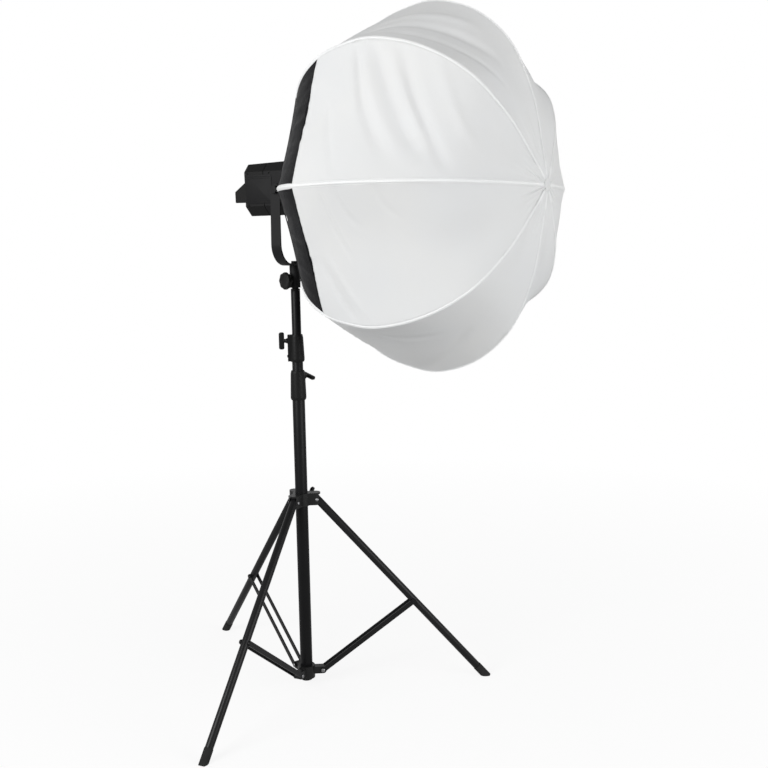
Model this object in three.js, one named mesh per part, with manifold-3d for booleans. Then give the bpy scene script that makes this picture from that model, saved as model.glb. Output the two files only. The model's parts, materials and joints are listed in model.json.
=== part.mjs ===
// A lantern softbox on a lamp head, held in a yoke on top of a three-section light stand.
// Units are millimetres and +Z is up. The lantern points along -Y. The origin is on the floor under
// the middle of the object's bounding box; every other place is measured from the column's axis.
// Each mesh is one physical piece.

import * as THREE from "three";
import { mergeVertices } from "three/addons/utils/BufferGeometryUtils.js";
import Module from "manifold-3d";

const wasm = await Module();
wasm.setup();

const DEG = Math.PI / 180;
const ROUND = 20; // facets round a tube
const SMALL = 10; // facets round a pin
const FIT = 0.3; // gap between pieces that touch

// Column
const COLUMN_X = 32; // the column's axis, from the middle of the bounding box
const COLUMN_Y = 109;
const BASE_R = 15;
const MID_R = 13;
const TOP_R = 11;
const TUBE_WALL = 1.5;
const BASE_TUBE = [20, 790];
const MID_TUBE = [70, 878];
const TOP_TUBE = [190, 986];
const STUD_R = 8;
const STUD_TOP = 1032;

// Tripod
const LEG_AZIMUTHS = [-57 * DEG, 63 * DEG, 183 * DEG];
const LEG_R = 9;
const LEG_WALL = 1.2;
const LEG_ANGLE = 41.08 * DEG; // from the vertical
const LEG_PIVOT = { r: 37.2, z: 476.5 };
const LEG_LENGTH = LEG_PIVOT.z / Math.cos(LEG_ANGLE);
const STRUT_PIVOT = { r: 41, z: 37.2 };
const STRUT_ON_LEG = 0.5636; // share of the leg's length
const PIN_R = 2.4;
const PIN_HOLE_R = 2.7;
const BAR_GAP = 9.7; // from the leg's middle plane to a strut bar
const BAR_THICK = 3;
const BAR_WIDTH = 12;
const FOOT_R = 10.5;

// Heights of the fittings on the column
const HUB = [18, 50];
const COLLAR = [462, 493];
const LOWER_CLAMP = [723.5, 794];
const UPPER_CLAMP = [816, 881];
const RECEIVER = [993, 1045.7];

// Clamp knobs: azimuth of the screw, its height, and how far the handle is rolled round it
const COLLAR_KNOB = { azimuth: 3 * DEG, z: 478, roll: 25 * DEG };
const LOWER_KNOB = { azimuth: -6 * DEG, z: 777, roll: 108 * DEG };
const UPPER_KNOB = { azimuth: 119 * DEG, z: 866, roll: 0 };
const RECEIVER_KNOB = { azimuth: 160 * DEG, z: 1010 };
const SCREW_R = 3;
const SCREW_HOLE_R = 3.4;

// Yoke
const YOKE_BOTTOM = 1046;
const YOKE_THICK = 4;
const YOKE_HALF = 76;
const YOKE_BEND = 52;
const YOKE_WIDTH = 26;
const TILT_Z = 1222;
const TILT_BOLT_R = 4;
const TILT_HOLE_R = 4.5;

// Lamp head, measured from the light axis: forward along the light, and up
const LIGHT_DROP = 14.7; // from the tilt bolt down to the light axis
const HEAD_TILT = 1.15 * DEG; // nose up
const LAMP_HALF = 60;
const LAMP_TOP = 79.5;
const LAMP_BOTTOM = -44;
const LAMP_REAR = -92.6;
const LAMP_CHAMFER = 22;
const LAMP_FRONT = 30;
const LAMP_SEAM = -40;
const LAMP_SKIN = 3;
const LAMP_MOUTH_R = 39;

// Softbox: the line of a rib as [forward, radius], from the speed ring to the front hub
const SOFTBOX_ROLL = 2 * DEG; // how far the lantern sits turned on the lamp
const RIB_LINE = [
  [52, 67],
  [107, 203],
  [170, 312],
  [240, 367.5],
  [307, 391.5],
  [373, 400],
  [467, 372],
  [547.5, 302],
  [597, 195],
  [620, 85],
  [631, 8],
];
const RING_AT = 0.3; // where the skirt ends and the canopy starts, along RIB_LINE
const RIB_END = 0.987;
const RIB_COUNT = 8;
const RIB_R = 2;
const RIB_INSET = 5;
const CLOTH = 1.5;
const SKIRT_SAG = 0.02;
const CANOPY_SAG = 0.045;
const SKIRT_ROWS = 6;
const CANOPY_ROWS = 12;
const GORE_STEPS = 4;

// ---- Materials ----

const standard = (color, roughness, metalness) =>
  new THREE.MeshStandardMaterial({ color, roughness, metalness });
const BLACK_METAL = standard(0x1c1c1e, 0.38, 0.55);
const BLACK_PLASTIC = standard(0x161617, 0.6, 0);
const STEEL = standard(0xb9babd, 0.3, 1);
const ALUMINIUM = standard(0xa9acb0, 0.45, 1);
const RUBBER = standard(0x121212, 0.85, 0);
const ROD = standard(0x2a2a2c, 0.5, 0.2);
const WHITE_CLOTH = standard(0xeeeef0, 0.8, 0);
const BLACK_CLOTH = standard(0x2b2b2e, 0.7, 0);
const CIRCUIT = standard(0x1f4a33, 0.6, 0.1);

// ---- Solids ----

function toSolid(geometry) {
  const bare = new THREE.BufferGeometry();
  bare.setAttribute("position", geometry.getAttribute("position"));
  bare.setIndex(geometry.index);
  const merged = mergeVertices(bare, 1e-4);
  const vertProperties = merged.getAttribute("position").array;
  const triVerts = new Uint32Array(merged.index.array);
  const made = new wasm.Manifold(new wasm.Mesh({ numProp: 3, vertProperties, triVerts }));
  if (made.volume() > 0) return made;
  triVerts.reverse();
  return new wasm.Manifold(new wasm.Mesh({ numProp: 3, vertProperties, triVerts }));
}

function fromSolid(made) {
  const { vertProperties, triVerts } = made.getMesh();
  const geometry = new THREE.BufferGeometry();
  geometry.setAttribute("position", new THREE.Float32BufferAttribute(vertProperties, 3));
  geometry.setIndex(new THREE.Uint32BufferAttribute(triVerts, 1));
  return geometry;
}

const join = (...parts) => fromSolid(parts.map(toSolid).reduce((a, b) => a.add(b)));
const common = (a, b) => fromSolid(toSolid(a).intersect(toSolid(b)));
const cut = (whole, ...tools) =>
  fromSolid(tools.map(toSolid).reduce((a, b) => a.subtract(b), toSolid(whole)));

// A closed profile of [radius, z] points, turned round the Z axis.
function spin(profile, facets = ROUND) {
  const points = profile.map(([r, z]) => new THREE.Vector2(r, z));
  points.push(points[0].clone());
  return new THREE.LatheGeometry(points, facets).rotateX(Math.PI / 2);
}

const ring = (outer, inner, z0, z1, facets = ROUND) =>
  spin([[inner, z0], [outer, z0], [outer, z1], [inner, z1]], facets);

const rod = (radius, z0, z1, facets = SMALL) =>
  new THREE.CylinderGeometry(radius, radius, z1 - z0, facets)
    .rotateX(Math.PI / 2)
    .translate(0, 0, (z0 + z1) / 2);

const rodY = (radius, y0, y1, facets) => rod(radius, -y1, -y0, facets).rotateX(Math.PI / 2);
const rodX = (radius, x0, x1, facets) => rod(radius, x0, x1, facets).rotateY(Math.PI / 2);

const block = ([x0, x1], [y0, y1], [z0, z1]) =>
  new THREE.BoxGeometry(x1 - x0, y1 - y0, z1 - z0)
    .translate((x0 + x1) / 2, (y0 + y1) / 2, (z0 + z1) / 2);

// A flat outline in XY, given thickness from z 0 to depth.
function plate(outline, depth, curveSegments = 6) {
  const shape = outline instanceof THREE.Shape
    ? outline
    : new THREE.Shape(outline.map(([x, y]) => new THREE.Vector2(x, y)));
  return new THREE.ExtrudeGeometry(shape, { depth, bevelEnabled: false, curveSegments });
}

// A bar outline along +Y from y0 to y1, with round ends beyond them.
function stadium(radius, y0, y1) {
  const shape = new THREE.Shape();
  shape.absarc(0, y1, radius, 0, Math.PI, false);
  shape.absarc(0, y0, radius, Math.PI, 2 * Math.PI, false);
  return shape;
}

function roundedBox(width, height, corner) {
  const x = width / 2 - corner;
  const y = height / 2 - corner;
  const shape = new THREE.Shape();
  shape.absarc(x, y, corner, 0, Math.PI / 2, false);
  shape.absarc(-x, y, corner, Math.PI / 2, Math.PI, false);
  shape.absarc(-x, -y, corner, Math.PI, 1.5 * Math.PI, false);
  shape.absarc(x, -y, corner, 1.5 * Math.PI, 2 * Math.PI, false);
  return shape;
}

// Turns a geometry whose +Z points out of a fitting so that it points out of the column.
const pointOut = (geometry, { azimuth, z }) =>
  geometry.rotateY(Math.PI / 2).rotateZ(azimuth).translate(0, 0, z);

const whole = new THREE.Group();
whole.position.set(COLUMN_X, COLUMN_Y, 0);

function group(parent, x = 0, y = 0, z = 0) {
  const made = new THREE.Group();
  made.position.set(x, y, z);
  parent.add(made);
  return made;
}

function piece(parent, name, geometry, material) {
  const faceted = fromSolid(toSolid(geometry)).toNonIndexed();
  faceted.computeVertexNormals();
  const mesh = new THREE.Mesh(faceted, material.clone());
  mesh.name = name;
  parent.add(mesh);
}

// A group whose +Z points out of the column at a knob.
function knobGroup({ azimuth, z }) {
  const made = group(whole, 0, 0, z);
  made.rotation.set(0, Math.PI / 2, azimuth, "ZYX");
  return made;
}

// ---- Knobs ----

const WING_LONG = 41;
const WING_DEEP = 13;
const WING_WIDE = 11;
const STEM_R = 4.5;

// A T-shaped knob: screw from z start, stem from the boss face, and a cross handle.
function wingKnob(start, face, roll) {
  const deep = face + 8;
  const wing = plate(roundedBox(WING_LONG, WING_DEEP, 4), WING_WIDE, 3)
    .translate(0, deep + WING_DEEP / 2, -WING_WIDE / 2)
    .rotateX(Math.PI / 2);
  const screw = rod(SCREW_R, start, face + 4);
  const stem = rod(STEM_R, face + FIT, deep + 1);
  return join(screw, stem, wing).rotateZ(roll);
}

const LOBES = 8;
const LOBE_DEPTH = 1.4;

// A round knob with finger lobes, from z0 to z1.
function lobedDisc(radius, z0, z1) {
  const steps = LOBES * 4;
  const outline = Array.from({ length: steps }, (_, i) => {
    const turn = (i / steps) * 2 * Math.PI;
    const r = radius - LOBE_DEPTH * (0.5 - 0.5 * Math.cos(LOBES * turn));
    return [r * Math.cos(turn), r * Math.sin(turn)];
  });
  return plate(outline, z1 - z0).translate(0, 0, z0);
}

// ---- Column tubes and clamps ----

function column() {
  piece(whole, "base_tube", ring(BASE_R, BASE_R - TUBE_WALL, ...BASE_TUBE), BLACK_METAL);
  const plugR = BASE_R - TUBE_WALL - FIT;
  const plug = spin([[0, 12], [BASE_R - 2, 12], [BASE_R, 14], [BASE_R, BASE_TUBE[0] - FIT],
    [plugR, BASE_TUBE[0] - FIT], [plugR, 34], [0, 34]]);
  piece(whole, "base_plug", plug, BLACK_PLASTIC);
  piece(whole, "mid_tube", ring(MID_R, MID_R - TUBE_WALL, ...MID_TUBE), BLACK_METAL);
  piece(whole, "top_tube", ring(TOP_R, TOP_R - TUBE_WALL, ...TOP_TUBE), BLACK_METAL);
  const top = TOP_TUBE[1];
  const stud = spin([[0, top - 30], [TOP_R - TUBE_WALL - FIT, top - 30],
    [TOP_R - TUBE_WALL - FIT, top + FIT], [TOP_R, top + FIT], [TOP_R, top + 4],
    [STUD_R, top + 4], [STUD_R, STUD_TOP - 2], [STUD_R - 1.5, STUD_TOP], [0, STUD_TOP]]);
  piece(whole, "top_stud", stud, STEEL);
}

// A moulded sleeve round a tube, with a lip that guides the thinner tube above it.
function sleeve([z0, z1], tubeR, innerR, foot, head) {
  const bore = tubeR + FIT;
  return spin([[bore, z0], [foot - 1.5, z0], [foot, z0 + 4], [foot, z0 + 8],
    [head, z1 - 7], [head - 1.5, z1], [innerR + 0.4, z1], [innerR + 0.4, z1 - 2],
    [bore, z1 - 2]]);
}

function clamps() {
  const lowerBoss = pointOut(rod(8, 0, 23), LOWER_KNOB);
  const lowerHole = pointOut(rod(SCREW_HOLE_R, 0, 30), LOWER_KNOB);
  const lowerBore = rod(BASE_R + FIT, LOWER_CLAMP[0] - 1, LOWER_CLAMP[1] - 2, ROUND);
  const lower = join(sleeve(LOWER_CLAMP, BASE_R, MID_R, 19, 17.4), lowerBoss);
  const lowerNeck = rod(MID_R + 0.4, LOWER_CLAMP[0], LOWER_CLAMP[1] + 1, ROUND);
  piece(whole, "lower_clamp", cut(lower, lowerBore, lowerNeck, lowerHole), BLACK_PLASTIC);

  const [z0, z1] = UPPER_CLAMP;
  const ear = block([0, 22], [-7, 7], [z0 + 1, z1 - 0.5]).rotateZ(UPPER_KNOB.azimuth);
  const bolt = { azimuth: UPPER_KNOB.azimuth, z: z0 + 13 };
  const earBolt = pointOut(rod(3.2, 18, 24), bolt);
  const upperHole = pointOut(rod(SCREW_HOLE_R, 0, 30), UPPER_KNOB);
  const upperBore = rod(MID_R + FIT, z0 - 1, z1 - 2, ROUND);
  const upperNeck = rod(TOP_R + 0.4, z0, z1 + 1, ROUND);
  const upper = join(sleeve(UPPER_CLAMP, MID_R, TOP_R, 17.4, 15.2), ear, earBolt);
  piece(whole, "upper_clamp", cut(upper, upperBore, upperNeck, upperHole), BLACK_PLASTIC);

  piece(knobGroup(LOWER_KNOB), "lower_clamp_knob",
    wingKnob(BASE_R + 1, 23, LOWER_KNOB.roll), BLACK_PLASTIC);
  piece(knobGroup(UPPER_KNOB), "upper_clamp_knob",
    wingKnob(MID_R + 1, 22, UPPER_KNOB.roll), BLACK_PLASTIC);
}

// ---- Tripod ----

// A rivet along Y with a head at each end.
function crossPin(reach, headR) {
  return join(rodY(PIN_R, -reach - 1, reach + 1), rodY(headR, reach, reach + 2),
    rodY(headR, -reach - 2, -reach));
}

const LUG_HALF = 12.9;
const LUG_REACH = 33;

function legCollar() {
  const [z0, z1] = COLLAR;
  const bore = rod(BASE_R + FIT, z0 - 1, z1 + 1, ROUND);
  const knobBoss = pointOut(rod(8, 0, 28), COLLAR_KNOB);
  const knobHole = pointOut(rod(SCREW_HOLE_R, 0, 30), COLLAR_KNOB);
  const hub = join(rod(21, z0, z1, ROUND), knobBoss);
  const lugs = LEG_AZIMUTHS.map((azimuth) =>
    plate(stadium(LUG_HALF, -LUG_REACH, 0), z1 - z0 - 1)
      .translate(0, 0, z0 + 1)
      .rotateZ(azimuth + Math.PI / 2));
  const channels = LEG_AZIMUTHS.map((azimuth) =>
    block([23, 60], [-LEG_R - 0.4, LEG_R + 0.4], [z0 - 1, z1 - 4]).rotateZ(azimuth));
  const holes = LEG_AZIMUTHS.map((azimuth) =>
    rodY(PIN_HOLE_R, -20, 20).translate(LEG_PIVOT.r, 0, LEG_PIVOT.z).rotateZ(azimuth));
  const collar = cut(join(hub, ...lugs), bore, knobHole, ...channels, ...holes);
  piece(whole, "leg_collar", collar, BLACK_PLASTIC);
  piece(knobGroup(COLLAR_KNOB), "collar_knob",
    wingKnob(BASE_R + 1, 28, COLLAR_KNOB.roll), BLACK_PLASTIC);
}

const TONGUE_R = 9;

function strutHub() {
  const bore = rod(BASE_R + FIT, HUB[0] - 1, HUB[1] + 1, ROUND);
  const tongues = LEG_AZIMUTHS.map((azimuth) =>
    plate(stadium(TONGUE_R, -STRUT_PIVOT.r, -BASE_R), 2 * (BAR_GAP - 0.5))
      .rotateZ(Math.PI / 2)
      .rotateX(Math.PI / 2)
      .translate(0, BAR_GAP - 0.5, STRUT_PIVOT.z)
      .rotateZ(azimuth));
  const holes = LEG_AZIMUTHS.map((azimuth) =>
    rodY(PIN_HOLE_R, -20, 20).translate(STRUT_PIVOT.r, 0, STRUT_PIVOT.z).rotateZ(azimuth));
  const hub = cut(join(rod(21, ...HUB, ROUND), ...tongues), bore, ...holes);
  piece(whole, "strut_hub", hub, BLACK_PLASTIC);
}

function leg(spoke, number) {
  const legGroup = group(spoke, LEG_PIVOT.r, 0, LEG_PIVOT.z);
  legGroup.rotation.y = -LEG_ANGLE;
  const capStart = LEG_LENGTH - 34;
  const tubeEnd = LEG_LENGTH - 16;
  const tube = cut(ring(LEG_R, LEG_R - LEG_WALL, -tubeEnd, 6), rodY(PIN_HOLE_R, -12, 12));
  piece(legGroup, `leg_${number}_tube`, tube, BLACK_METAL);
  const floor = block([-900, 900], [-100, 100], [-60, 0])
    .translate(-LEG_PIVOT.r, 0, -LEG_PIVOT.z)
    .rotateY(LEG_ANGLE);
  const cap = cut(rod(FOOT_R, -LEG_LENGTH - 6, -capStart, ROUND),
    rod(LEG_R + FIT, -tubeEnd - FIT, -capStart + 1, ROUND), floor);
  piece(legGroup, `leg_${number}_foot`, cap, RUBBER);
  const pin = group(spoke, LEG_PIVOT.r, 0, LEG_PIVOT.z);
  piece(pin, `leg_${number}_pin`, crossPin(LUG_HALF + FIT, 4), STEEL);
}

function strut(spoke, number) {
  const onLeg = STRUT_ON_LEG * LEG_LENGTH;
  const run = LEG_PIVOT.r + onLeg * Math.sin(LEG_ANGLE) - STRUT_PIVOT.r;
  const rise = LEG_PIVOT.z - onLeg * Math.cos(LEG_ANGLE) - STRUT_PIVOT.z;
  const length = Math.hypot(run, rise);
  const strutGroup = group(spoke, STRUT_PIVOT.r, 0, STRUT_PIVOT.z);
  strutGroup.rotation.y = Math.atan2(run, rise);
  const bar = () => {
    const flat = plate(stadium(BAR_WIDTH / 2, 0, length), BAR_THICK)
      .rotateX(Math.PI / 2)
      .translate(0, BAR_GAP + BAR_THICK, 0);
    const head = rodY(5, BAR_GAP + 1, BAR_GAP + BAR_THICK + 2).translate(0, 0, length);
    return cut(join(flat, head), rodY(PIN_HOLE_R, 0, 20));
  };
  piece(strutGroup, `strut_${number}_bar_a`, bar(), BLACK_METAL);
  piece(strutGroup, `strut_${number}_bar_b`, bar().rotateZ(Math.PI), BLACK_METAL);
  const pin = group(spoke, STRUT_PIVOT.r, 0, STRUT_PIVOT.z);
  piece(pin, `strut_${number}_pin`, crossPin(BAR_GAP + BAR_THICK + FIT, 5), STEEL);
}

function tripod() {
  strutHub();
  legCollar();
  LEG_AZIMUTHS.forEach((azimuth, index) => {
    const spoke = group(whole);
    spoke.rotation.z = azimuth;
    leg(spoke, index + 1);
    strut(spoke, index + 1);
  });
}

// ---- Yoke ----

function yokeBracket() {
  const top = TILT_Z + YOKE_WIDTH;
  const bend = YOKE_BOTTOM + YOKE_BEND;
  const arc = YOKE_HALF - YOKE_BEND;
  const inner = YOKE_BEND - YOKE_THICK;
  const shape = new THREE.Shape();
  shape.moveTo(-YOKE_HALF, top);
  shape.absarc(-arc, bend, YOKE_BEND, Math.PI, 1.5 * Math.PI, false);
  shape.absarc(arc, bend, YOKE_BEND, 1.5 * Math.PI, 2 * Math.PI, false);
  shape.lineTo(YOKE_HALF, top);
  shape.lineTo(YOKE_HALF - YOKE_THICK, top);
  shape.absarc(arc, bend, inner, 0, -Math.PI / 2, true);
  shape.absarc(-arc, bend, inner, -Math.PI / 2, -Math.PI, true);
  shape.lineTo(-YOKE_HALF + YOKE_THICK, top);
  const bar = plate(shape, YOKE_WIDTH, 8).rotateX(Math.PI / 2).translate(0, YOKE_WIDTH / 2, 0);
  const rounding = join(
    block([-100, 100], [-YOKE_WIDTH, YOKE_WIDTH], [YOKE_BOTTOM - 10, TILT_Z]),
    rodX(YOKE_WIDTH / 2, -100, 100, ROUND).translate(0, 0, TILT_Z));
  return cut(common(bar, rounding), rodX(TILT_HOLE_R, -100, 100).translate(0, 0, TILT_Z),
    rod(5.4, YOKE_BOTTOM - 5, YOKE_BOTTOM + 10));
}

function yoke() {
  piece(whole, "yoke_bracket", yokeBracket(), BLACK_METAL);
  const [z0, z1] = RECEIVER;
  const bore = STUD_R + FIT;
  const body = spin([[bore, z0], [12.5, z0], [12.5, z1], [5.4, z1], [5.4, z1 - 10],
    [bore, z1 - 10]]);
  const boss = pointOut(rod(7.5, 10, 18), RECEIVER_KNOB);
  const hole = pointOut(rod(SCREW_HOLE_R, 0, 30), RECEIVER_KNOB);
  piece(whole, "yoke_receiver", cut(join(body, boss), hole), BLACK_METAL);
  const plateTop = YOKE_BOTTOM + YOKE_THICK + FIT;
  const bolt = join(rod(5, z1 - 8, plateTop + 1), rod(9, plateTop, plateTop + 5, 6));
  piece(whole, "pan_bolt", bolt, BLACK_METAL);
  const knob = join(rod(SCREW_R, STUD_R + 1, 22), rod(6, 18 + FIT, 24), lobedDisc(20.5, 23, 33));
  piece(knobGroup(RECEIVER_KNOB), "receiver_knob", knob, BLACK_PLASTIC);

  const tilt = group(whole, 0, 0, TILT_Z);
  const out = YOKE_HALF + FIT;
  const tiltBolt = join(rodX(TILT_BOLT_R, -out - 1, -64), rodX(10, -out - 5, -out, 6));
  piece(tilt, "tilt_bolt", tiltBolt, BLACK_METAL);
  const tiltKnob = join(rodX(TILT_BOLT_R, 64, out + 1), rodX(9, out, out + 6),
    lobedDisc(18, out + 5, out + 18).rotateY(Math.PI / 2));
  piece(tilt, "tilt_knob", tiltKnob, BLACK_PLASTIC);
}

// ---- Lamp head, in a frame with +Z forward along the light and +Y up ----

// The lamp's outer form drawn in by inset: a side outline crossed with a chamfered front outline.
function lampForm(inset) {
  const top = LAMP_TOP - inset;
  const bottom = LAMP_BOTTOM + inset;
  const half = LAMP_HALF - inset;
  const side = [[LAMP_REAR + inset, top - 4], [LAMP_FRONT - inset, top],
    [LAMP_FRONT - inset, bottom], [LAMP_REAR + inset, bottom]];
  const slice = plate(side, 2 * half).rotateY(-Math.PI / 2).translate(half, 0, 0);
  const c = LAMP_CHAMFER;
  const front = [[half - c, top], [-half + c, top], [-half, top - c], [-half, bottom + c],
    [-half + c, bottom], [half - c, bottom], [half, bottom + c], [half, top - c]];
  return common(slice, plate(front, 200).translate(0, 0, -120));
}

const CONTROLS = { forward: -66, dimmer: 28, button: 4 };

function lampShell(lamp) {
  const skin = cut(lampForm(0), lampForm(LAMP_SKIN));
  const all = [-200, 200];
  const frontHalf = common(skin, block(all, all, [LAMP_SEAM, 100]));
  const rearHalf = common(skin, block(all, all, [-200, LAMP_SEAM - FIT]));
  const boss = (side) =>
    cut(rodX(13, LAMP_HALF - 1, YOKE_HALF - YOKE_THICK - FIT, ROUND), rodX(TILT_HOLE_R, 62, 80))
      .rotateZ(side < 0 ? Math.PI : 0)
      .translate(0, LIGHT_DROP, 0);
  const mouth = rod(LAMP_MOUTH_R, 20, 40, ROUND);
  const latchSlot = block([-3.4, 3.4], [60, LAMP_TOP + 5], [10, 24]);
  const body = join(cut(frontHalf, mouth, latchSlot), boss(1), boss(-1));
  piece(lamp, "lamp_body", body, BLACK_METAL);

  const at = CONTROLS.forward;
  const vents = [-3, -2, -1, 0, 1, 2, 3].map((n) =>
    block([n * 10 - 2, n * 10 + 2], [-12, 44], [-100, -75]));
  const dimmerHole = rodX(2.9, 50, 70).translate(0, CONTROLS.dimmer, at);
  const buttonHole = rodX(6.4, 50, 70).translate(0, CONTROLS.button, at);
  const rear = cut(rearHalf, ...vents, dimmerHole, buttonHole);
  piece(lamp, "lamp_rear_cover", rear, BLACK_PLASTIC);
}

function lampHandle(lamp) {
  const outline = [[-93.6, 34], [-105, 34], [-135, 13], [-135, -12], [-93.6, -12]];
  const cheek = (x) => plate(outline, 8).rotateY(-Math.PI / 2).translate(x + 4, 0, 0);
  const grip = plate([[-118, 24.9], [-135, 13], [-135, -12], [-118, -12]], 84)
    .rotateY(-Math.PI / 2)
    .translate(42, 0, 0);
  piece(lamp, "lamp_handle", join(cheek(38), cheek(-38), grip), BLACK_PLASTIC);
}

function lampControls(lamp) {
  const at = CONTROLS.forward;
  const dimmer = group(lamp, 0, CONTROLS.dimmer, at);
  piece(dimmer, "dimmer_knob", join(rodX(2.5, 54, 62), rodX(9, LAMP_HALF + FIT, 70, 16)),
    BLACK_PLASTIC);
  const button = group(lamp, 0, CONTROLS.button, at);
  piece(button, "power_button", rodX(6, 55, LAMP_HALF + 2.5), BLACK_PLASTIC);
  const latch = join(block([-8, 8], [LAMP_TOP + 0.6, LAMP_TOP + 4.6], [12, 26]),
    block([-3, 3], [62, LAMP_TOP + 1], [18, 23.5]));
  piece(lamp, "mount_latch", latch, BLACK_PLASTIC);
}

function lampInside(lamp) {
  const fins = [-4, -3, -2, -1, 0, 1, 2, 3, 4].map((n) =>
    block([n * 9 - 1.2, n * 9 + 1.2], [-36, 36], [-14, 19]));
  piece(lamp, "heat_sink", join(block([-40, 40], [-36, 36], [18, 23]), ...fins), ALUMINIUM);
  const board = join(block([-30, 30], [-30, 30], [23.4, 25]), rod(19, 24, 26.4, ROUND));
  piece(lamp, "led_board", board, CIRCUIT);
  const frame = cut(block([-38, 38], [-35, 41], [-34, -20]), rod(35.5, -32, -19, ROUND)
    .translate(0, 3, 0), rod(30, -35, -30, ROUND).translate(0, 3, 0));
  const cross = [block([-33, 33], [1, 5], [-34, -32]), block([-2, 2], [-30, 36], [-34, -32])];
  piece(lamp, "fan_frame", join(frame, ...cross, rod(3, -33, -24).translate(0, 3, 0)),
    BLACK_PLASTIC);
  const blades = [0, 1, 2, 3, 4, 5, 6].map((n) =>
    block([8, 33], [-6, 6], [-0.8, 0.8]).rotateX(35 * DEG).translate(0, 0, -26)
      .rotateZ((n / 7) * 2 * Math.PI));
  const fan = cut(join(rod(11, -30.5, -21.5, ROUND), ...blades), rod(3.3, -40, -10));
  piece(group(lamp, 0, 3, 0), "fan_rotor", fan, BLACK_PLASTIC);
  const driver = join(block([-42, 42], [-16, 40], [-62, -60]), block([-20, 14], [-8, 16], [-61, -48]),
    block([20, 36], [4, 30], [-61, -52]));
  piece(lamp, "driver_board", driver, CIRCUIT);
  const claw = (turn) =>
    block([LAMP_MOUTH_R - 4, LAMP_MOUTH_R + 1], [-7, 7], [LAMP_FRONT + FIT, LAMP_FRONT + 3])
      .rotateZ(turn);
  const mount = join(ring(56, LAMP_MOUTH_R, LAMP_FRONT + FIT, 38), claw(0), claw(120 * DEG),
    claw(240 * DEG));
  piece(lamp, "mount_ring", mount, ALUMINIUM);
}

// The frame of the lamp head: it tilts on the yoke's bolt, and its origin is on the light axis.
function headFrame() {
  const tilted = group(whole, 0, 0, TILT_Z);
  tilted.rotation.x = Math.PI / 2 - HEAD_TILT;
  return group(tilted, 0, -LIGHT_DROP, 0);
}

function lampHead() {
  const lamp = headFrame();
  lampShell(lamp);
  lampHandle(lamp);
  lampControls(lamp);
  lampInside(lamp);
}

// ---- Softbox, in the same frame as the lamp head ----

const ribCurve = new THREE.CatmullRomCurve3(
  RIB_LINE.map(([forward, radius]) => new THREE.Vector3(radius, 0, forward)),
  false,
  "centripetal",
);

// The rib line at share t, drawn in towards the inside by inset.
function ribPoint(t, inset) {
  const point = ribCurve.getPoint(t);
  const tangent = ribCurve.getTangent(t);
  return { radius: point.x - inset * tangent.z, forward: point.z + inset * tangent.x };
}

// One closed cloth shell between two shares of the rib line, octagonal, with sagging gores.
function clothShell(from, to, rows, sag) {
  const columns = RIB_COUNT * GORE_STEPS;
  const gore = (2 * Math.PI) / RIB_COUNT;
  const positions = [];
  const addRow = (t, share, inset) => {
    const { radius, forward } = ribPoint(t, inset);
    for (let c = 0; c < columns; c += 1) {
      const off = ((c % GORE_STEPS) / GORE_STEPS - 0.5) * gore;
      const edge = (2 * off) / gore;
      const chord = Math.cos(gore / 2) / Math.cos(off);
      const draw = 1 - sag * Math.sin(Math.PI * share) * (1 - edge * edge);
      const turn = (c / columns) * 2 * Math.PI;
      const r = radius * chord * draw;
      positions.push(r * Math.cos(turn), r * Math.sin(turn), forward);
    }
  };
  const shares = Array.from({ length: rows + 1 }, (_, i) => i / rows);
  shares.forEach((share) => addRow(from + share * (to - from), share, 0));
  shares.reverse().forEach((share) => addRow(from + share * (to - from), share, CLOTH));
  const rings = 2 * (rows + 1);
  const index = [];
  for (let i = 0; i < rings; i += 1) {
    for (let c = 0; c < columns; c += 1) {
      const a = i * columns + c;
      const b = i * columns + ((c + 1) % columns);
      const up = ((i + 1) % rings) * columns;
      index.push(a, b, up + c, b, up + ((c + 1) % columns), up + c);
    }
  }
  const geometry = new THREE.BufferGeometry();
  geometry.setAttribute("position", new THREE.Float32BufferAttribute(positions, 3));
  geometry.setIndex(index);
  return geometry;
}

const ROD_SIDES = 5;

// A sprung rod that follows the rib line inside the cloth.
function ribRod() {
  const shares = [];
  for (let i = 0; i < SKIRT_ROWS; i += 1) shares.push((RING_AT * i) / SKIRT_ROWS);
  for (let i = 0; i < CANOPY_ROWS; i += 1) {
    shares.push(RING_AT + ((1 - RING_AT) * i) / CANOPY_ROWS);
  }
  shares.push(RIB_END);
  const positions = [];
  shares.forEach((t) => {
    for (let k = 0; k < ROD_SIDES; k += 1) {
      const turn = (k / ROD_SIDES) * 2 * Math.PI;
      const { radius, forward } = ribPoint(t, RIB_INSET + RIB_R * Math.cos(turn));
      positions.push(radius, RIB_R * Math.sin(turn), forward);
    }
  });
  const index = [];
  for (let i = 0; i < shares.length - 1; i += 1) {
    for (let k = 0; k < ROD_SIDES; k += 1) {
      const next = (k + 1) % ROD_SIDES;
      const a = i * ROD_SIDES;
      index.push(a + k, a + ROD_SIDES + k, a + next);
      index.push(a + next, a + ROD_SIDES + k, a + ROD_SIDES + next);
    }
  }
  const last = (shares.length - 1) * ROD_SIDES;
  for (let k = 1; k < ROD_SIDES - 1; k += 1) {
    index.push(0, k, k + 1);
    index.push(last, last + k + 1, last + k);
  }
  const geometry = new THREE.BufferGeometry();
  geometry.setAttribute("position", new THREE.Float32BufferAttribute(positions, 3));
  geometry.setIndex(index);
  return geometry;
}

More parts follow.
